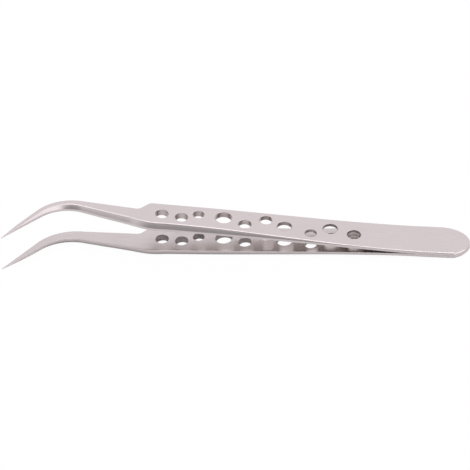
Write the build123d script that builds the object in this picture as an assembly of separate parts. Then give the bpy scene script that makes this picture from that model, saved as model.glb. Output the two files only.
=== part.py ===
from build123d import *
import math
import os

# Fine-point tweezers: two steel arms, mirror images of each other, welded face to face at the butt.
# Each arm is a bevelled blade with ten lightening holes, a shoulder, a slim neck and a hooked needle tip.
# Millimetres. A station is a distance from the butt end, along the handle, towards the tips.
# Until the last step the mid-plane between the arms is z = 0, the butt end is at x = 0 and the tips at -x.

# Lengths of the zones, from the butt end to the point
weld_length = 11.9
spring_length = 38.2
grip_length = 34.9
neck_length = 18.5
needle_length = 13.8
bend_radius = 12.2
shoulder_length = 3.9
flare_length = 10.6
flare_lead = 5.0
butt_round_length = 8.2
butt_round_lean = 0.45

# Widths of the inner face
handle_width_butt = 10.7
handle_width_front = 9.5
neck_root_width = 6.55
bend_width = 3.3
tip_width = 0.16
needle_fullness = 0.33

# The neck sits forward of the handle's centre line, leans back a little, then hooks forward
neck_root_offset = -1.57
neck_lean = 8.8
hook_angle = 49.1

# Side view: half the gap between the arms, and the thickness of one arm
spring_gap = 0.73
grip_start_gap = 1.81
grip_middle_gap = 2.7
shoulder_gap = 3.5
neck_gap = 4.69
tip_gap = 5.26
butt_thickness = 0.9
spring_thickness = 0.9
grip_start_thickness = 1.33
grip_middle_thickness = 1.9
shoulder_thickness = 2.1
neck_thickness = 1.83
tip_thickness = 0.18
point_length = 24.0

# Section: an upright edge, a bevel above it, and a rounded corner where the bevel meets the outer face
edge_land = 0.64
land_share = 0.75
bevel_run = 0.61
corner_radius = 0.3
corner_share = 0.8

# Lightening holes, drilled square to the arm: distance behind the shoulder, offset to the back, diameter
holes = [
    (2.85, -0.10, 3.5),
    (8.15, -0.77, 3.5),
    (12.55, 0.93, 3.0),
    (19.25, 0.66, 4.5),
    (25.05, -1.01, 3.5),
    (30.45, 1.63, 3.4),
    (35.55, -0.21, 4.1),
    (42.65, -1.62, 3.2),
    (47.65, 0.99, 4.1),
    (54.05, -0.36, 3.7),
]
rim_break = 0.08
rest_grind = 0.03
tool_reach = 2.0

# Stations between the zones
grip_start = weld_length + spring_length
shoulder = grip_start + grip_length
bend_start = shoulder + neck_length
flare_start = shoulder - flare_lead
flare_end = flare_start + flare_length

# Plan of the bend and the needle
lean = math.radians(neck_lean)
hook = math.radians(hook_angle)
tip_length = bend_radius * (lean + hook) + needle_length
bend_offset = neck_root_offset + neck_length * math.tan(lean)


def mix(a, b, share):
    return a + (b - a) * share


def ramp(value, low, high):
    return min(1.0, max(0.0, (value - low) / (high - low)))


def ease(value, low, high):
    share = ramp(value, low, high)
    return share * share * (3.0 - 2.0 * share)


def spread(low, high, count):
    """Evenly spaced values after low, up to and including high."""
    return [mix(low, high, i / count) for i in range(1, count + 1)]


def curve_through(points, value):
    """Height of a smooth curve through (position, height) points, level where it starts."""
    slopes = [0.0]
    for before, after in zip(points[:-2], points[2:]):
        slopes.append((after[1] - before[1]) / (after[0] - before[0]))
    slopes.append((points[-1][1] - points[-2][1]) / (points[-1][0] - points[-2][0]))
    i = max([0] + [k for k, point in enumerate(points[:-1]) if point[0] <= value])
    (x0, y0), (x1, y1) = points[i], points[i + 1]
    u = ramp(value, x0, x1)
    chord = (y1 - y0) / (x1 - x0)
    rise = (1.0 - u) * (slopes[i] - chord) - u * (slopes[i + 1] - chord)
    return mix(y0, y1, u) + (x1 - x0) * u * (1.0 - u) * rise


side_stations = [weld_length, weld_length + spring_length / 2, grip_start, grip_start + grip_length / 2,
                 shoulder, bend_start]
half_gaps = [0.0, spring_gap, grip_start_gap, grip_middle_gap, shoulder_gap, neck_gap]
thicknesses = [butt_thickness, spring_thickness, grip_start_thickness, grip_middle_thickness,
               shoulder_thickness, neck_thickness]
gap_points = list(zip(side_stations, half_gaps))
thickness_points = list(zip(side_stations, thicknesses))


def half_gap(station):
    return curve_through(gap_points, station)


def thickness_at(station):
    return curve_through(thickness_points, station)


def handle_half_width(station):
    return mix(handle_width_front, handle_width_butt, (1.0 - ramp(station, weld_length, shoulder)) ** 3) / 2


def plan_edges(station):
    """Front and back edge: the front flares smoothly into the neck, the back steps in at the shoulder."""
    share = (station - shoulder) / neck_length
    centre = mix(neck_root_offset, bend_offset, share)
    neck_half = mix(neck_root_width, bend_width, share) / 2
    half = handle_half_width(station)
    front = mix(-half, centre - neck_half, ease(station, flare_start, flare_end))
    back = mix(half, centre + neck_half, ease(station, shoulder, shoulder + shoulder_length))
    return front, back


def section(station, offset, heading, half, gap, thickness):
    """Outline across the arm, square to its heading: flat inner face below, bevelled outer face above."""
    land = min(edge_land, land_share * thickness)
    bevel_height = thickness - land
    bevel = bevel_run * bevel_height
    slant = math.hypot(bevel, bevel_height)
    half_angle = (math.pi - math.atan2(bevel_height, bevel)) / 2
    radius = min(corner_radius, corner_share * slant, corner_share * (half - bevel))
    setback = radius / math.tan(half_angle)
    dip = radius * (1.0 - math.sin(half_angle))
    corner = half - bevel
    right = [
        (half, 0.0),
        (half, land),
        (corner + setback * bevel / slant, thickness - setback * bevel_height / slant),
        (corner - setback + radius * math.cos(half_angle), thickness - dip),
        (corner - setback, thickness),
    ]

    def place(across, height):
        return Vector(-station + across * math.sin(heading), offset + across * math.cos(heading), gap + height)

    p = [place(across, height) for across, height in right]
    q = [place(-across, height) for across, height in right]
    return Wire([
        Edge.make_line(q[0], p[0]),
        Edge.make_line(p[0], p[1]),
        Edge.make_line(p[1], p[2]),
        Edge.make_three_point_arc(p[2], p[3], p[4]),
        Edge.make_line(p[4], q[4]),
        Edge.make_three_point_arc(q[4], q[3], q[2]),
        Edge.make_line(q[2], q[1]),
        Edge.make_line(q[1], q[0]),
    ])


def blade_section(station):
    """Section of the handle or the neck. It turns square to the neck as it nears the bend."""
    front, back = plan_edges(station)
    turn = lean * ramp(station, flare_end, bend_start)
    return section(station, (front + back) / 2, turn, (back - front) / 2,
                   half_gap(station), thickness_at(station))


def tip_section(left):
    """Section of the bend or the needle, with the given length left to the point."""
    heading = max(-hook, lean - (tip_length - left) / bend_radius)
    beyond = max(0.0, needle_length - left)
    station = bend_start + bend_radius * (math.sin(lean) - math.sin(heading)) + beyond * math.cos(hook)
    offset = bend_offset + bend_radius * (math.cos(heading) - math.cos(lean)) - beyond * math.sin(hook)
    share = left / tip_length
    half = mix(tip_width, bend_width, share * (1.0 + needle_fullness * (1.0 - share))) / 2
    gap = mix(tip_gap, neck_gap, share * share)
    thickness = mix(tip_thickness, neck_thickness, math.sin(math.pi / 2 * min(1.0, left / point_length)))
    return section(station, offset, heading, half, gap, thickness)


def weld_tab():
    """Flat rear end, where the two arms are welded together."""
    return Solid.make_loft([blade_section(-tool_reach), blade_section(weld_length)], ruled=True)


def blade():
    """Spring, grip, shoulder, neck, bend and needle, in one smooth run of sections."""
    shoulder_end = shoulder + shoulder_length
    stations = [weld_length, weld_length + tool_reach]
    stations += spread(weld_length + tool_reach, grip_start, 4)
    stations += spread(grip_start, flare_start, 4)
    stations += spread(flare_start, shoulder, 2)
    stations += spread(shoulder, shoulder_end, 5)
    stations += spread(shoulder_end, flare_end, 2)
    stations += spread(flare_end, bend_start, 3)[:-1]
    lefts = [tip_length] + spread(tip_length, needle_length, 6) + spread(needle_length, 0.0, 8)
    return Solid.make_loft([blade_section(s) for s in stations] + [tip_section(left) for left in lefts])


def hole_tool(station, offset, diameter):
    """Drill square to the inner face, which also breaks both rims of the hole."""
    slope = (half_gap(station + diameter / 2) - half_gap(station - diameter / 2)) / diameter
    tilt = math.atan(slope)
    normal = Vector(math.sin(tilt), 0, math.cos(tilt))
    radius = diameter / 2
    foot = Vector(-station, offset, half_gap(station))
    wall = thickness_at(station) * math.cos(tilt)
    tool = Solid.make_cylinder(radius, wall + 2 * tool_reach, Plane(foot - normal * tool_reach, z_dir=normal))
    outer = Plane(foot + normal * (wall - rim_break), z_dir=normal)
    inner = Plane(foot + normal * rim_break, z_dir=-normal)
    for plane in (outer, inner):
        tool += Solid.make_cone(radius, radius + tool_reach, tool_reach, plane)
    return tool


def butt_waste():
    """What is ground away around the round butt end, which is a little fuller on the front side."""
    half = handle_half_width(0.0)
    reach = 2 * tool_reach
    block = Box(2 * butt_round_length, 4 * half, 2 * reach)
    round_end = extrude(Ellipse(butt_round_length, half + butt_round_lean), reach, both=True)
    return block - Pos(-butt_round_length, -butt_round_lean, 0) * round_end


def rest_slope():
    """Slope of the line that touches an arm's outer side at the butt end and at its belly."""
    stations = spread(weld_length, bend_start, 200)
    return max((half_gap(s) + thickness_at(s) - butt_thickness) / s for s in stations)


def rest_waste():
    """What is ground off along that line, so that the tool lies flat and doesn't rock."""
    slope = rest_slope()
    reach = bend_start + bend_radius
    ground = Plane((0, 0, butt_thickness - rest_grind), x_dir=(-1, 0, slope), z_dir=(slope, 0, 1))
    return ground * Pos(reach / 2, 0, tool_reach) * Box(2 * reach, 2 * handle_width_butt, 2 * tool_reach)


def arm():
    body = weld_tab() + blade() - butt_waste() - rest_waste()
    for behind, offset, diameter in holes:
        body -= hole_tool(shoulder - behind, offset, diameter)
    return body


rest_tilt = math.degrees(math.atan(rest_slope()))
upper = arm()
lower = upper.mirror(Plane.XY)
upper = upper.rotate(Axis.Y, rest_tilt)
lower = lower.rotate(Axis.Y, rest_tilt)
box = upper.bounding_box().add(lower.bounding_box())
ground_depth = (butt_thickness - rest_grind) * math.cos(math.radians(rest_tilt))
to_origin = Pos(-box.center().X, -box.center().Y, ground_depth)
parts = {"upper_arm": to_origin * upper, "lower_arm": to_origin * lower}

os.makedirs("parts", exist_ok=True)
for name, part in parts.items():
    export_step(part, f"parts/{name}.step")
    size = part.bounding_box().size
    print(f"{name}: {len(part.solids())} solid, {part.volume:.1f} mm3, "
          f"{size.X:.2f} x {size.Y:.2f} x {size.Z:.2f} mm")
print(f"whole: {box.size.X:.2f} x {box.size.Y:.2f} x {box.max.Z + ground_depth:.2f} mm, "
      f"rest tilt {rest_tilt:.2f} deg")
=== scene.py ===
# %% [markdown]
# # Fine-point tweezers
#
# This file dresses a pair of curved, fine-point steel tweezers. The two arms were drawn in CAD, welded
# face to face at the butt, and come in here as a fixed frame. Blender adds what CAD leaves plain: how
# each face was ground, how its edges were broken, and the light and place of the photograph.
# Sizes are in millimetres until a mesh is put in its place.

import bmesh
import bpy
import math
from mathutils import Matrix, Vector


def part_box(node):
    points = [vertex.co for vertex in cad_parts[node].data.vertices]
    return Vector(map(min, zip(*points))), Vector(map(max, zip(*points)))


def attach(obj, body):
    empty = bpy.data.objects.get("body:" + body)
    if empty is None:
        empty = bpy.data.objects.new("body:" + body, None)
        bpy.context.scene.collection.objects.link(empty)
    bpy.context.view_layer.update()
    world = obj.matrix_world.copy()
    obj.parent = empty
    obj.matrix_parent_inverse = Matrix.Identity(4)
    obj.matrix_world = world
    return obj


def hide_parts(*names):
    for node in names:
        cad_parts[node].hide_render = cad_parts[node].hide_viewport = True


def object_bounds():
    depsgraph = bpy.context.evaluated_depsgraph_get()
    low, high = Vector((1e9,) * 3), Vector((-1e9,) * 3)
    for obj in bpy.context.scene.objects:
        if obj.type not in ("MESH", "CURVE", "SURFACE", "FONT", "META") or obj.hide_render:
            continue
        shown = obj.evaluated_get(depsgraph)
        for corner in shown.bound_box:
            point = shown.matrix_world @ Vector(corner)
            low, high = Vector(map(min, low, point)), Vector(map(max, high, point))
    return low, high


MM = 0.001
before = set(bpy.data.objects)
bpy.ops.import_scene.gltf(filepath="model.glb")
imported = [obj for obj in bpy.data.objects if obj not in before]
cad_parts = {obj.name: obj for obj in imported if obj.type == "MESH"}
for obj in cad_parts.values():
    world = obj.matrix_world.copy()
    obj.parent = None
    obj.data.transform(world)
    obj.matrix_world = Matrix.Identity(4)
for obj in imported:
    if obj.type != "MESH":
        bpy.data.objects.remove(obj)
cad_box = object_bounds()
print("nodes:", sorted(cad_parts))
print("CAD box in mm:", [[round(v / MM, 2) for v in corner] for corner in cad_box])

# %% [markdown]
# ## The camera
#
# The photograph is taken from far off with a long lens, so the edges of the tool stay almost parallel.
# The camera stands in front of the hooked side, about 40 degrees above the bench. Its turn was found by
# fitting the outline of both arms, so it's written here as plain angles.

# %% Camera
CAMERA_PLACE_MM = (370.87, -2475.69, 2103.47)
CAMERA_TURN_DEG = (49.937, 3.968, 5.193)
LENS_MM = 943.0
SENSOR_MM = 36.0

bpy.ops.object.select_all(action="DESELECT")
bpy.ops.object.camera_add(
    location=[v * MM for v in CAMERA_PLACE_MM],
    rotation=[math.radians(v) for v in CAMERA_TURN_DEG],
)
camera = bpy.context.object
camera.name = "camera"
camera.data.lens = LENS_MM
camera.data.sensor_width = SENSOR_MM
bpy.context.scene.camera = camera
print("camera height over the bench in mm:", round(camera.location.z / MM))

# %% [markdown]
# ## The size of an arm
#
# Each arm is a steel blade. It starts as a flat tab at the butt, thickens through the grip, steps in at
# the shoulder, runs out in a slim neck and ends in a needle that hooks to the front. The sizes below are
# the CAD model's, so the dressed arm fills the same space. A station is a distance from the butt end.

# %% Sizes along the arm
WELD_LENGTH = 11.9
SPRING_LENGTH = 38.2
GRIP_LENGTH = 34.9
NECK_LENGTH = 18.5
NEEDLE_LENGTH = 13.8
BEND_RADIUS = 12.2
SHOULDER_LENGTH = 3.9
FLARE_LENGTH = 10.6
FLARE_LEAD = 5.0
BUTT_ROUND_LENGTH = 8.2
BUTT_ROUND_LEAN = 0.45

GRIP_START = WELD_LENGTH + SPRING_LENGTH
SHOULDER = GRIP_START + GRIP_LENGTH
BEND_START = SHOULDER + NECK_LENGTH
FLARE_START = SHOULDER - FLARE_LEAD
FLARE_END = FLARE_START + FLARE_LENGTH

# %% Widths and the plan of the neck
HANDLE_WIDTH_BUTT = 10.7
HANDLE_WIDTH_FRONT = 9.5
NECK_ROOT_WIDTH = 6.55
BEND_WIDTH = 3.3
TIP_WIDTH = 0.16
NEEDLE_FULLNESS = 0.33
NECK_ROOT_OFFSET = -1.57
LEAN = math.radians(8.8)
HOOK = math.radians(49.1)
TIP_LENGTH = BEND_RADIUS * (LEAN + HOOK) + NEEDLE_LENGTH
BEND_OFFSET = NECK_ROOT_OFFSET + NECK_LENGTH * math.tan(LEAN)

# %% Half the gap between the arms, and the thickness of one arm, at six stations
SIDE_STATIONS = (WELD_LENGTH, WELD_LENGTH + SPRING_LENGTH / 2, GRIP_START, GRIP_START + GRIP_LENGTH / 2,
                 SHOULDER, BEND_START)
HALF_GAPS = (0.0, 0.73, 1.81, 2.7, 3.5, 4.69)
THICKNESSES = (0.9, 0.9, 1.33, 1.9, 2.1, 1.83)
TIP_GAP = 5.26
TIP_THICKNESS = 0.18
POINT_LENGTH = 24.0
REST_GRIND = 0.03

# %% Section and holes
EDGE_LAND = 0.64
LAND_SHARE = 0.75
BEVEL_RUN = 0.61
CORNER_RADIUS = 0.3
HOLES = (
    (2.85, -0.10, 3.5), (8.15, -0.77, 3.5), (12.55, 0.93, 3.0), (19.25, 0.66, 4.5), (25.05, -1.01, 3.5),
    (30.45, 1.63, 3.4), (35.55, -0.21, 4.1), (42.65, -1.62, 3.2), (47.65, 0.99, 4.1), (54.05, -0.36, 3.7),
)

# %% [markdown]
# ## The form of the blade
#
# Four small helpers mix and ease between values. The side view is one smooth curve through six points,
# and the plan view is the front edge and the back edge at each station.

# %% Helpers


def mix(a, b, share):
    return a + (b - a) * share


def ramp(value, low, high):
    return min(1.0, max(0.0, (value - low) / (high - low)))


def ease(value, low, high):
    share = ramp(value, low, high)
    return share * share * (3.0 - 2.0 * share)


def curve_through(xs, ys, value):
    """Height of a smooth curve through points, level where it starts."""
    slopes = [0.0]
    slopes += [(ys[k + 1] - ys[k - 1]) / (xs[k + 1] - xs[k - 1]) for k in range(1, len(xs) - 1)]
    slopes.append((ys[-1] - ys[-2]) / (xs[-1] - xs[-2]))
    i = max([0] + [k for k in range(len(xs) - 1) if xs[k] <= value])
    u = ramp(value, xs[i], xs[i + 1])
    length = xs[i + 1] - xs[i]
    chord = (ys[i + 1] - ys[i]) / length
    rise = (1.0 - u) * (slopes[i] - chord) - u * (slopes[i + 1] - chord)
    return mix(ys[i], ys[i + 1], u) + length * u * (1.0 - u) * rise


def half_gap(station):
    return curve_through(SIDE_STATIONS, HALF_GAPS, station)


def thickness_at(station):
    return curve_through(SIDE_STATIONS, THICKNESSES, station)


# %% Plan of the handle and the neck


def plan_edges(station):
    """Front and back edge of the inner face, with the round end at the butt."""
    flare = (1.0 - ramp(station, WELD_LENGTH, SHOULDER)) ** 3
    half = mix(HANDLE_WIDTH_FRONT, HANDLE_WIDTH_BUTT, flare) / 2
    share = (station - SHOULDER) / NECK_LENGTH
    centre = mix(NECK_ROOT_OFFSET, BEND_OFFSET, share)
    neck_half = mix(NECK_ROOT_WIDTH, BEND_WIDTH, share) / 2
    front = mix(-half, centre - neck_half, ease(station, FLARE_START, FLARE_END))
    back = mix(half, centre + neck_half, ease(station, SHOULDER, SHOULDER + SHOULDER_LENGTH))
    if station < BUTT_ROUND_LENGTH:
        arc = math.sqrt(1.0 - (1.0 - station / BUTT_ROUND_LENGTH) ** 2) * (half + BUTT_ROUND_LEAN)
        front = max(front, -BUTT_ROUND_LEAN - arc)
        back = min(back, -BUTT_ROUND_LEAN + arc)
    return front, back


# %% [markdown]
# ## One section across the blade
#
# The real arm is ground all over, and no edge of it is knife sharp. So a section here has more than the
# CAD one: the edge beside the inner face is broken, the bevel bulges by a few hundredths as a hand-held
# grind leaves it, and it runs softly into the upright land. Those small radii are what catches the light
# as thin bright lines.

# %% Section
EDGE_BREAK = 0.09
LAND_BLEND = 0.28
BEVEL_BULGE = 0.035
BULGE_SHARE = 0.03
FACE_STEPS = 7
EDGE_STEPS = 4
BEVEL_STEPS = 5
CREST_STEPS = 6
MOST_SETBACK = 0.45


def rounded(before, corner, after, radius, steps):
    """Points of the arc that rounds a corner, kept inside the two sides that meet there."""
    to_before = before - corner
    to_after = after - corner
    half_angle = to_before.angle(to_after) / 2
    room = MOST_SETBACK * min(to_before.length, to_after.length)
    setback = min(radius / math.tan(half_angle), room)
    start = corner + to_before.normalized() * setback
    end = corner + to_after.normalized() * setback
    points = []
    for k in range(steps + 1):
        u = k / steps
        points.append(start * (1 - u) ** 2 + corner * (2 * u * (1 - u)) + end * u ** 2)
    return points


def side_profile(half, land, bevel, thickness):
    """Half a section, from the middle of the inner face, round the edge, to the middle of the outer face."""
    middle_in = Vector((0.0, 0.0))
    edge = Vector((half, 0.0))
    shelf = Vector((half, land))
    crest = Vector((half - bevel, thickness))
    middle_out = Vector((0.0, thickness))
    inner_edge = rounded(middle_in, edge, shelf, EDGE_BREAK, EDGE_STEPS)
    shelf_blend = rounded(edge, shelf, crest, LAND_BLEND, EDGE_STEPS)
    crest_blend = rounded(shelf, crest, middle_out, CORNER_RADIUS, CREST_STEPS)
    outward = Vector((thickness - land, bevel)).normalized()
    bulge = min(BEVEL_BULGE, BULGE_SHARE * (thickness - land))
    ground = []
    for k in range(1, BEVEL_STEPS):
        u = k / BEVEL_STEPS
        ground.append(shelf_blend[-1].lerp(crest_blend[0], u) + outward * (4 * u * (1 - u) * bulge))
    face_in = [middle_in.lerp(inner_edge[0], k / FACE_STEPS) for k in range(FACE_STEPS)]
    face_out = [crest_blend[-1].lerp(middle_out, k / FACE_STEPS) for k in range(1, FACE_STEPS + 1)]
    return face_in + inner_edge + shelf_blend + ground + crest_blend + face_out


def whole_profile(half, land, bevel, thickness):
    """A closed section: the back side from the middle of the inner face, then the front side mirrored."""
    right = side_profile(half, land, bevel, thickness)
    left = [Vector((-p.x, p.y)) for p in reversed(right[1:-1])]
    return right + left


# %% [markdown]
# ## Sections along the blade
#
# A ring is a section put in its place: where it stands, which way it faces in plan, and how far it is
# from the plane between the arms. At the butt the outer edge is rounded over as well, because that end
# is ground down after the weld, so there the bevel grows and follows the round outline.

# %% Rings
BUTT_BEVEL = 0.34
BUTT_BEVEL_DEPTH = 0.42
BUTT_DROP_LENGTH = 0.8
BUTT_DROP = 0.4
MOST_BEVEL_SHARE = 0.8
PROBE = 0.01


def handle_ring(station):
    front, back = plan_edges(station)
    half = (back - front) / 2
    thickness = thickness_at(station)
    land = min(EDGE_LAND, LAND_SHARE * thickness)
    bevel = BEVEL_RUN * (thickness - land)
    if station < BUTT_ROUND_LENGTH:
        share = 1.0 - station / BUTT_ROUND_LENGTH
        slope = (plan_edges(station + PROBE)[1] - back) / PROBE
        land = min(land, mix(land, thickness - BUTT_BEVEL_DEPTH, share))
        bevel = min(mix(bevel, BUTT_BEVEL, share) * math.hypot(1.0, slope), MOST_BEVEL_SHARE * half)
    if station < BUTT_DROP_LENGTH:
        fall = 1.0 - math.sqrt(1.0 - (1.0 - station / BUTT_DROP_LENGTH) ** 2)
        thickness = thickness - BUTT_DROP * fall
        land = min(land, LAND_SHARE * thickness)
    turn = LEAN * ramp(station, FLARE_END, BEND_START)
    profile = whole_profile(half, land, bevel, thickness)
    return place_ring(profile, station, (front + back) / 2, turn, half_gap(station))


def tip_ring(left):
    """A section of the bend or the needle, with the given length left to the point."""
    heading = max(-HOOK, LEAN - (TIP_LENGTH - left) / BEND_RADIUS)
    beyond = max(0.0, NEEDLE_LENGTH - left)
    station = BEND_START + BEND_RADIUS * (math.sin(LEAN) - math.sin(heading)) + beyond * math.cos(HOOK)
    offset = BEND_OFFSET + BEND_RADIUS * (math.cos(heading) - math.cos(LEAN)) - beyond * math.sin(HOOK)
    share = left / TIP_LENGTH
    half = mix(TIP_WIDTH, BEND_WIDTH, share * (1.0 + NEEDLE_FULLNESS * (1.0 - share))) / 2
    gap = mix(TIP_GAP, HALF_GAPS[-1], share * share)
    swell = math.sin(math.pi / 2 * min(1.0, left / POINT_LENGTH))
    thickness = mix(TIP_THICKNESS, THICKNESSES[-1], swell)
    land = min(EDGE_LAND, LAND_SHARE * thickness)
    profile = whole_profile(half, land, BEVEL_RUN * (thickness - land), thickness)
    return place_ring(profile, station, offset, heading, gap)


def place_ring(profile, station, offset, heading, gap):
    """The section's points in space, with the butt end at x = 0 and the tips at -x."""
    return [
        Vector((-station + p.x * math.sin(heading), offset + p.x * math.cos(heading), gap + p.y))
        for p in profile
    ]


# %% Where the rings stand
RING_STEP = 0.45
BUTT_RINGS = 16


def ring_list():
    """All rings of the upper arm, closer together where the butt is round."""
    rings = []
    for k in range(1, BUTT_RINGS + 1):
        rings.append(handle_ring(BUTT_ROUND_LENGTH * (1.0 - math.cos(math.pi / 2 * k / BUTT_RINGS))))
    count = round((BEND_START - BUTT_ROUND_LENGTH) / RING_STEP)
    for k in range(1, count + 1):
        rings.append(handle_ring(mix(BUTT_ROUND_LENGTH, BEND_START, k / count)))
    count = round(TIP_LENGTH / RING_STEP)
    for k in range(1, count + 1):
        rings.append(tip_ring(mix(TIP_LENGTH, 0.0, k / count)))
    return rings


rings = ring_list()
RING_POINTS = len(rings[0])
print("rings:", len(rings), "points in a ring:", RING_POINTS)

# %% [markdown]
# ## Extruding the blade
#
# The blade starts as a filled circle with as many corners as a section has. That end is extruded from
# ring to ring, and the new end is set on the section's points each time. Blender may list the corners of
# a new end in another order, so each one is known by the old corner that it is joined to. The other way,
# bridging some three hundred loose rings, gives the same skin but hides which face is which.

# %% Blade


def make_blade(name, side):
    """An arm without its holes. side is 1 for the upper arm and -1 for its mirror image."""
    points_by_ring = [[Vector((p.x, p.y, p.z * side)) for p in ring] for ring in rings]
    corner_of = {k: k for k in range(RING_POINTS)}
    bpy.ops.object.select_all(action="DESELECT")
    bpy.ops.mesh.primitive_circle_add(vertices=RING_POINTS, radius=1.0, fill_type="NGON")
    blade = bpy.context.object
    blade.name = name
    blade.data.name = name
    bpy.ops.object.mode_set(mode="EDIT")
    bpy.ops.mesh.select_mode(type="FACE")
    bpy.ops.mesh.select_all(action="SELECT")
    mesh = bmesh.from_edit_mesh(blade.data)
    for vertex, point in zip(mesh.verts, points_by_ring[0]):
        vertex.co = point
    for points in points_by_ring[1:]:
        bpy.ops.mesh.extrude_region_move()
        mesh = bmesh.from_edit_mesh(blade.data)
        mesh.verts.ensure_lookup_table()
        mesh.verts.index_update()
        for vertex in mesh.verts[-RING_POINTS:]:
            joined_to = min(edge.other_vert(vertex).index for edge in vertex.link_edges)
            corner_of[vertex.index] = corner_of[joined_to]
            vertex.co = points[corner_of[joined_to]]
    bmesh.update_edit_mesh(blade.data)
    bpy.ops.mesh.select_all(action="SELECT")
    bpy.ops.mesh.normals_make_consistent(inside=False)
    bpy.ops.object.mode_set(mode="OBJECT")
    return blade, points_by_ring, corner_of


# %% [markdown]
# ## Which face was made how
#
# The blank is cut and pressed from sheet, so its inner side keeps the smooth face of the rolled sheet and
# is buffed. The outer side and the bevels are ground by hand along the blade. The finishes are put on
# before the holes are cut, by the zone of the section that a face belongs to. Each face also gets a UV in
# metres, along the blade and round it, so the grinding lines can follow the bend of the needle.

# %% Zones
SATIN, BUFFED, BEVEL, DRILLED = range(4)
INNER_POINTS = FACE_STEPS + EDGE_STEPS // 2
BEVEL_START = FACE_STEPS + 2 * (EDGE_STEPS + 1)
CREST_MIDDLE = BEVEL_START + (BEVEL_STEPS - 1) + CREST_STEPS // 2


def zone_of(corner):
    """The finish of the face strip that starts at a corner of the section."""
    mirrored = min(corner, RING_POINTS - 1 - corner)
    if mirrored < INNER_POINTS:
        return BUFFED
    return BEVEL if mirrored < CREST_MIDDLE else SATIN


def ring_lengths(points_by_ring):
    """Distance run along the blade at each ring."""
    runs = [0.0]
    for before, after in zip(points_by_ring[:-1], points_by_ring[1:]):
        centre_before = sum(before, Vector()) / len(before)
        centre_after = sum(after, Vector()) / len(after)
        runs.append(runs[-1] + (centre_after - centre_before).length)
    return runs


def girth_lengths(points):
    """Distance run round a ring at each of its corners, and all the way round."""
    girth = [0.0]
    for a, b in zip(points, points[1:] + points[:1]):
        girth.append(girth[-1] + (b - a).length)
    return girth


def dress_blade(blade, points_by_ring, corner_of):
    """Gives every strip of the blade its finish and its UV in metres."""
    runs = ring_lengths(points_by_ring)
    girth = girth_lengths(points_by_ring[len(points_by_ring) // 2])
    uv = blade.data.uv_layers[0] if blade.data.uv_layers else blade.data.uv_layers.new(name="UVMap")
    for polygon in blade.data.polygons:
        corners = [corner_of[v] for v in polygon.vertices]
        if len(corners) == RING_POINTS:
            polygon.material_index = BEVEL
            continue
        low = min(corners)
        wraps = max(corners) - low > 1
        polygon.material_index = zone_of(max(corners) if wraps else low)
        for loop in polygon.loop_indices:
            vertex = blade.data.loops[loop].vertex_index
            corner = corner_of[vertex]
            across = girth[RING_POINTS] if wraps and corner == 0 else girth[corner]
            uv.data[loop].uv = (runs[vertex // RING_POINTS] * MM, across * MM)


# %% [markdown]
# ## Cutting the holes
#
# A drill goes square through the inner face. Its tool is a cylinder whose ends open out, so one cut
# makes the bore and breaks both rims. The ten tools are joined and taken away in one boolean.

# %% Hole tools
RIM_BREAK = 0.08
RIM_FLARE = 0.6
DRILL_SIDES = 72


def select_only(piece):
    bpy.ops.object.select_all(action="DESELECT")
    piece.select_set(True)
    bpy.context.view_layer.objects.active = piece


def open_end(tool, end, radius):
    """Extrudes one cap of the cylinder outwards and widens it at 45 degrees. end is 1 or -1."""
    bpy.ops.mesh.select_all(action="DESELECT")
    mesh = bmesh.from_edit_mesh(tool.data)
    for face in mesh.faces:
        face.select = face.normal.z * end > 0.9
    bmesh.update_edit_mesh(tool.data)
    bpy.ops.mesh.extrude_region_move(TRANSFORM_OT_translate={"value": (0.0, 0.0, end * RIM_FLARE)})
    grow = (radius + RIM_FLARE) / radius
    bpy.ops.transform.resize(value=(grow, grow, 1.0))


def hole_tool(station, offset, diameter, side):
    """The drill of one hole, standing square to the inner face."""
    slope = (half_gap(station + diameter / 2) - half_gap(station - diameter / 2)) / diameter
    tilt = math.atan(slope)
    normal = Vector((math.sin(tilt), 0.0, math.cos(tilt)))
    wall = thickness_at(station) * math.cos(tilt)
    foot = Vector((-station, offset, half_gap(station)))
    radius = diameter / 2
    bpy.ops.object.select_all(action="DESELECT")
    bpy.ops.mesh.primitive_cylinder_add(vertices=DRILL_SIDES, radius=radius, depth=wall - 2 * RIM_BREAK)
    tool = bpy.context.object
    bpy.ops.object.mode_set(mode="EDIT")
    bpy.ops.mesh.select_mode(type="FACE")
    for end in (1, -1):
        open_end(tool, end, radius)
    bpy.ops.object.mode_set(mode="OBJECT")
    middle = foot + normal * (wall / 2)
    tool.location = (middle.x, middle.y, middle.z * side)
    tool.rotation_euler = (0.0, tilt * side, 0.0)
    bpy.ops.object.transform_apply(location=True, rotation=True, scale=True)
    return tool


def all_tools(side):
    """The ten drills of one arm, joined into one object."""
    tools = [hole_tool(SHOULDER - behind, offset, diameter, side) for behind, offset, diameter in HOLES]
    bpy.ops.object.select_all(action="DESELECT")
    for tool in tools:
        tool.select_set(True)
    bpy.context.view_layer.objects.active = tools[0]
    bpy.ops.object.join()
    return bpy.context.object


# %% Cut


def drill(blade, side, finishes):
    """Cuts the holes and gives their walls the drilled finish."""
    tools = all_tools(side)
    for finish in finishes:
        blade.data.materials.append(finish)
    tools.data.materials.append(finishes[DRILLED])
    select_only(blade)
    cut = blade.modifiers.new("holes", "BOOLEAN")
    cut.operation = "DIFFERENCE"
    cut.solver = "EXACT"
    cut.material_mode = "TRANSFER"
    cut.object = tools
    bpy.ops.object.modifier_apply(modifier="holes")
    bpy.data.objects.remove(tools)


# %% [markdown]
# ## Shading
#
# A flat face beside a tiny radius would look puffed up if its corner normals were plain averages. The
# weighted normals lean to the larger faces, so flats stay flat and only the radii turn the light.

# %% Shading
SHARP_ANGLE = math.radians(33)


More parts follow.
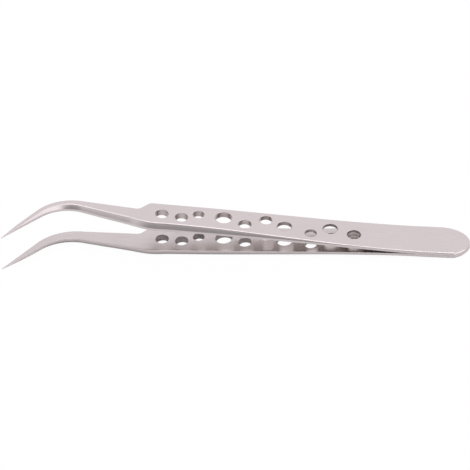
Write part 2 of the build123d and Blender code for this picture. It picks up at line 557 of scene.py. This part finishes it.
def shade(blade):
    """Smooth shading, apart from the sharp edges, with the flats kept flat."""
    select_only(blade)
    bpy.ops.object.shade_smooth_by_angle(angle=SHARP_ANGLE)
    weighted = blade.modifiers.new("flat faces", "WEIGHTED_NORMAL")
    weighted.mode = "FACE_AREA"
    weighted.keep_sharp = True
    bpy.ops.object.modifier_apply(modifier="flat faces")


# %% [markdown]
# ## Lying on the bench
#
# The tool lies on the butt end and on the belly of its lower arm, so it is tilted by a few degrees. The
# slope comes from the side view, and the place from the CAD node's own box.

# %% Place
REST_STATIONS = 200
stations = [mix(WELD_LENGTH, BEND_START, k / REST_STATIONS) for k in range(1, REST_STATIONS + 1)]
rest_slope = max((half_gap(s) + thickness_at(s) - THICKNESSES[0]) / s for s in stations)
rest_tilt = math.atan(rest_slope)
upper_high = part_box("upper_arm")[1]
place_mm = Vector((
    upper_high.x / MM - THICKNESSES[0] * math.sin(rest_tilt),
    upper_high.y / MM - HANDLE_WIDTH_BUTT / 2,
    (THICKNESSES[0] - REST_GRIND) * math.cos(rest_tilt),
))
print("rest tilt:", round(math.degrees(rest_tilt), 3), "place:", [round(v, 3) for v in place_mm])


def lay_down(blade):
    """Turns the arm to its rest, moves it into the frame, and keeps it inside the CAD box."""
    into_frame = Matrix.Scale(MM, 4) @ Matrix.Translation(place_mm) @ Matrix.Rotation(rest_tilt, 4, "Y")
    blade.data.transform(into_frame)
    low = (cad_box[0][0], cad_box[0][1], 0.0)
    for vertex in blade.data.vertices:
        vertex.co = [min(max(v, a), b) for v, a, b in zip(vertex.co, low, cad_box[1])]
    blade.data.update()


# %% [markdown]
# ## Colour
#
# Colours are picked as sRGB hex values, the way a paint chart lists them. Blender's shaders work in
# linear light, so one function does the turning.

# %% Colour helper


def colour(hex_value):
    """A linear RGBA colour from an sRGB hex string such as 'D8D4D2'."""
    channels = [int(hex_value[i:i + 2], 16) / 255 for i in (0, 2, 4)]
    linear = [c / 12.92 if c <= 0.04045 else ((c + 0.055) / 1.055) ** 2.4 for c in channels]
    return (*linear, 1.0)


# %% [markdown]
# ## A helper for nodes
#
# Every material below is a small network of nodes. This function adds one node, gives it its settings,
# and links or fills its inputs, so that each material can be read from top to bottom.

# %% Node helper


def add_node(tree, kind, settings=None, inputs=None):
    """Adds a node. An input is either a value or an output socket of another node."""
    node = tree.nodes.new(kind)
    for name, value in (settings or {}).items():
        setattr(node, name, value)
    for name, value in (inputs or {}).items():
        socket = node.inputs[name]
        if isinstance(value, bpy.types.NodeSocket):
            tree.links.new(value, socket)
        else:
            socket.default_value = value
    return node


def new_material(name):
    """An empty node material with its output node."""
    material = bpy.data.materials.new(name)
    material.use_nodes = True
    material.node_tree.nodes.clear()
    output = material.node_tree.nodes.new("ShaderNodeOutputMaterial")
    return material, material.node_tree, output


# %% [markdown]
# ## Steel
#
# All four finishes are the same stainless steel, a slightly warm light grey that turns browner with each
# reflection between the arms. What differs is how it was worked. That sets how rough it is, how strong
# the lengthwise lines are, and how much they smear a reflection across the blade: on the buffed inner
# faces the mirrored holes become upright streaks. The lines follow the UV, so they turn with the needle.
# Real lines are 0.02 to 0.05 mm apart, too fine to show, so they're drawn about 0.15 mm apart.

# %% Steel
STEEL = "C7BFBB"
DARK_STEEL = "8A817C"
LINE_SPACING_MM = 0.15
LINE_LENGTH_MM = 8.0
BLOTCH_MM = 9.0
BLOTCH_SHARE = 0.35
ACROSS_THE_BLADE = 0.25


def steel_finish(name, rough_low, rough_high, line_depth_mm, tone, streak):
    """Stainless steel with lengthwise lines. tone darkens the colour, and streak smears reflections."""
    material, tree, output = new_material(name)
    place = add_node(tree, "ShaderNodeTexCoord")
    along = add_node(tree, "ShaderNodeMapping", inputs={
        "Vector": place.outputs["UV"],
        "Scale": (1 / (LINE_LENGTH_MM * MM), 1 / (LINE_SPACING_MM * MM), 1.0)})
    lines = add_node(tree, "ShaderNodeTexNoise", inputs={
        "Vector": along.outputs["Vector"], "Scale": 1.0, "Detail": 3.0, "Roughness": 0.6})
    blotches = add_node(tree, "ShaderNodeTexNoise", inputs={
        "Vector": place.outputs["Object"], "Scale": 1 / (BLOTCH_MM * MM), "Detail": 2.0})
    both = add_node(tree, "ShaderNodeMix", {"data_type": "FLOAT"}, {
        0: BLOTCH_SHARE, 2: lines.outputs["Fac"], 3: blotches.outputs["Fac"]})
    rough = add_node(tree, "ShaderNodeMapRange", inputs={
        "Value": both.outputs[0], "From Min": 0.3, "From Max": 0.7,
        "To Min": rough_low, "To Max": rough_high})
    shade_share = add_node(tree, "ShaderNodeMapRange", inputs={
        "Value": both.outputs[0], "From Min": 0.35, "From Max": 0.65, "To Min": 0.0, "To Max": tone})
    tint = add_node(tree, "ShaderNodeMix", {"data_type": "RGBA"}, {
        0: shade_share.outputs["Result"], 6: colour(STEEL), 7: colour(DARK_STEEL)})
    bump = add_node(tree, "ShaderNodeBump", inputs={
        "Height": lines.outputs["Fac"], "Strength": 1.0, "Distance": line_depth_mm * MM})
    grain = add_node(tree, "ShaderNodeTangent", {"direction_type": "UV_MAP", "uv_map": "UVMap"})
    shader = add_node(tree, "ShaderNodeBsdfPrincipled", inputs={
        "Base Color": tint.outputs[2], "Metallic": 1.0,
        "Anisotropic": streak, "Anisotropic Rotation": ACROSS_THE_BLADE, "Tangent": grain.outputs["Tangent"],
        "Roughness": rough.outputs["Result"], "Normal": bump.outputs["Normal"]})
    tree.links.new(shader.outputs["BSDF"], output.inputs["Surface"])
    return material


FINISHES = (
    steel_finish("satin_ground_steel", 0.24, 0.34, 0.0008, 0.10, 0.4),
    steel_finish("buffed_sheet_steel", 0.17, 0.24, 0.0002, 0.14, 0.95),
    steel_finish("hand_ground_bevel_steel", 0.18, 0.28, 0.0008, 0.10, 0.4),
    steel_finish("drilled_steel", 0.25, 0.35, 0.0010, 0.15, 0.0),
)
print("finishes:", [finish.name for finish in FINISHES])

# %% [markdown]
# ## Making both arms
#
# The upper arm is made, dressed, drilled, laid down and put in place of its CAD node, and then the lower
# one, its mirror image.

# %% Arms


def make_arm(node, name, side):
    blade, points_by_ring, corner_of = make_blade(name, side)
    dress_blade(blade, points_by_ring, corner_of)
    drill(blade, side, FINISHES)
    lay_down(blade)
    shade(blade)
    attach(blade, "root")
    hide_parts(node)
    print(name, "faces:", len(blade.data.polygons), "materials:", [m.name for m in blade.data.materials])


make_arm("upper_arm", "upper_blade", 1)
make_arm("lower_arm", "lower_blade", -1)

# %% [markdown]
# ## Bench
#
# The bench is pale paint. The camera sees it nearly white, as the photograph's background is, and a
# faint soft shadow of the tool stays. The steel reflects the paint itself.

# %% Bench
WHITE_SHARE = 0.965
BENCH_SIZE = 6.0


def bench_paint():
    """Pale paint that the camera sees nearly white."""
    material, tree, output = new_material("white_bench_paint")
    path = add_node(tree, "ShaderNodeLightPath")
    share = add_node(tree, "ShaderNodeMath", {"operation": "MULTIPLY"}, {
        0: path.outputs["Is Camera Ray"], 1: WHITE_SHARE})
    paint = add_node(tree, "ShaderNodeBsdfDiffuse", inputs={"Color": colour("E6E6E6")})
    glow = add_node(tree, "ShaderNodeEmission", inputs={"Color": colour("FFFFFF"), "Strength": 1.0})
    seen = add_node(tree, "ShaderNodeMixShader", inputs={
        0: share.outputs[0], 1: paint.outputs[0], 2: glow.outputs[0]})
    tree.links.new(seen.outputs[0], output.inputs["Surface"])
    return material


bpy.ops.object.select_all(action="DESELECT")
bpy.ops.mesh.primitive_plane_add(size=BENCH_SIZE, location=(0, 0, 0))
bench = bpy.context.object
bench.name = "bench"
bench.data.materials.append(bench_paint())

# %% [markdown]
# ## Light
#
# The steel is lit by a white tent with even light from all round. It has three patches, each given by
# azimuth, elevation, inner and outer radius in degrees. The gap in front, where a tent is open for the
# camera, is dim: the front bevels reflect it. The panel on the right is brighter and lights the needle's
# bevel. The roof lamp draws the bright line along the crest of each bevel.

# %% Tent
TENT_COLOUR = "FAF8FF"
TENT_LEVEL = 1.22
GAP_PATCH, GAP_LEVEL = (-92, 12, 10, 34), 0.44
PANEL_PATCH, PANEL_LEVEL = (-35, 15, 20, 38), 1.75
ROOF_PATCH, ROOF_LEVEL = (-85, 84, 6, 17), 5.0


def direction(azimuth_deg, elevation_deg):
    """A unit vector. Azimuth runs from +X towards +Y, and elevation is the height over the bench."""
    a = math.radians(azimuth_deg)
    e = math.radians(elevation_deg)
    return (math.cos(a) * math.cos(e), math.sin(a) * math.cos(e), math.sin(e))


def add_patch(tree, looking, place, level_around, level):
    """Sets another level inside a round patch of the sky, with a soft rim."""
    azimuth, elevation, inner_deg, outer_deg = place
    dot = add_node(tree, "ShaderNodeVectorMath", {"operation": "DOT_PRODUCT"}, {
        0: looking, 1: direction(azimuth, elevation)})
    inside = add_node(tree, "ShaderNodeMapRange", {"interpolation_type": "SMOOTHSTEP"}, {
        "Value": dot.outputs["Value"], "From Min": math.cos(math.radians(outer_deg)),
        "From Max": math.cos(math.radians(inner_deg)), "To Min": 0.0, "To Max": 1.0})
    mixed = add_node(tree, "ShaderNodeMix", {"data_type": "FLOAT"}, {
        0: inside.outputs["Result"], 2: level_around, 3: level})
    return mixed.outputs[0]


world = bpy.data.worlds.new("light_tent")
bpy.context.scene.world = world
world.use_nodes = True
sky = world.node_tree
sky.nodes.clear()
looking = add_node(sky, "ShaderNodeTexCoord").outputs["Generated"]
level = TENT_LEVEL
for place, patch_level in ((GAP_PATCH, GAP_LEVEL), (PANEL_PATCH, PANEL_LEVEL), (ROOF_PATCH, ROOF_LEVEL)):
    level = add_patch(sky, looking, place, level, patch_level)
seen = add_node(sky, "ShaderNodeLightPath").outputs["Is Camera Ray"]
strength = add_node(sky, "ShaderNodeMix", {"data_type": "FLOAT"}, {0: seen, 2: level, 3: 1.0})
hue = add_node(sky, "ShaderNodeMix", {"data_type": "RGBA"}, {
    0: seen, 6: colour(TENT_COLOUR), 7: colour("FFFFFF")})
lit = add_node(sky, "ShaderNodeBackground", inputs={"Color": hue.outputs[2], "Strength": strength.outputs[0]})
add_node(sky, "ShaderNodeOutputWorld", inputs={"Surface": lit.outputs[0]})
print("tent level:", TENT_LEVEL, "gap:", GAP_LEVEL, "panel:", PANEL_LEVEL, "roof:", ROOF_LEVEL)

# %% [markdown]
# ## Finish
#
# Colours are shown through the Standard view transform.

# %% Finish
scene = bpy.context.scene
scene.view_settings.view_transform = "Standard"
